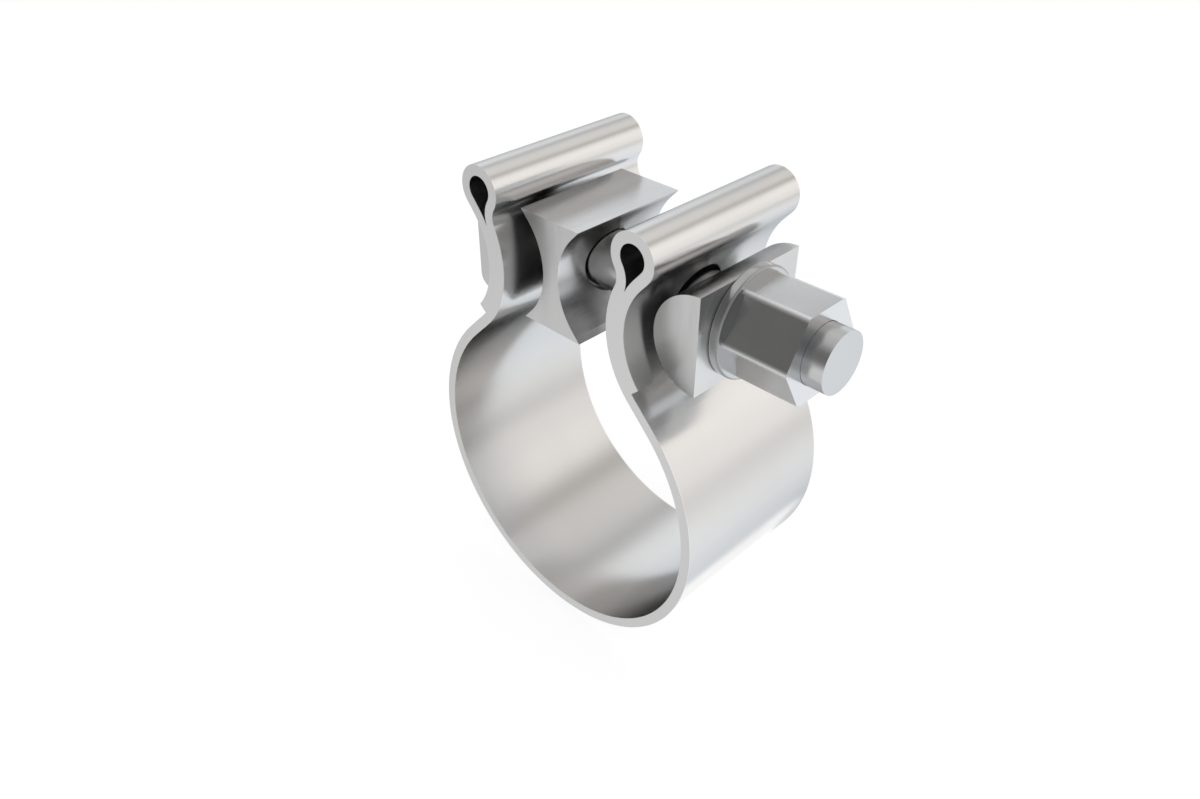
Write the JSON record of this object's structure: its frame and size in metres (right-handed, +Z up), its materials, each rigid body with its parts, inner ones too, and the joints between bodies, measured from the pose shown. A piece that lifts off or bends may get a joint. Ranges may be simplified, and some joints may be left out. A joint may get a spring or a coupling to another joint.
{
  "type": "exhaust band clamp",
  "caption": "Wide stainless band clamp for a round exhaust pipe: open ring with folded lugs, cross bolt, half-round bars, bow-tie spacer and collar nut.",
  "frame": {"origin": "centre of the ring, halfway across the band's width", "axes": "+X along the bolt towards the nut, +Y along the pipe, +Z up from the ring's centre through the gap between the lugs"},
  "size_m": [0.0719, 0.0334, 0.0826],
  "materials": {
    "strip": "bright satin stainless strip",
    "bars": "fine satin stainless",
    "fastener": "bright stainless"
  },
  "bodies": {
    "clamp": {"band_strap": "strip", "head_side_bar": "bars", "clamp_bolt": "fastener"},
    "nut_bar": {"nut_side_bar": "bars"},
    "nut": {"flange_nut": "fastener"},
    "spacer": {"spacer_block": "bars"}
  },
  "joints": [
    {"name": "nut_travel", "type": "slide", "parent": "clamp", "child": "nut_bar", "axis": [1, 0, 0], "range_m": [-0.0009, 0.0036]},
    {"name": "nut_spin", "type": "hinge", "parent": "nut_bar", "child": "nut", "pos_m": [0.0314, 0, 0.03522], "axis": [1, 0, 0], "range_deg": [-216.1, 864.1]},
    {"name": "spacer_slide", "type": "slide", "parent": "clamp", "child": "spacer", "axis": [1, 0, 0], "range_m": [-0.0006, 0.0126]}
  ],
  "couplings": [
    {"joint": "nut_spin", "follows": "nut_travel", "rad_per_m": 4188.8}
  ]
}
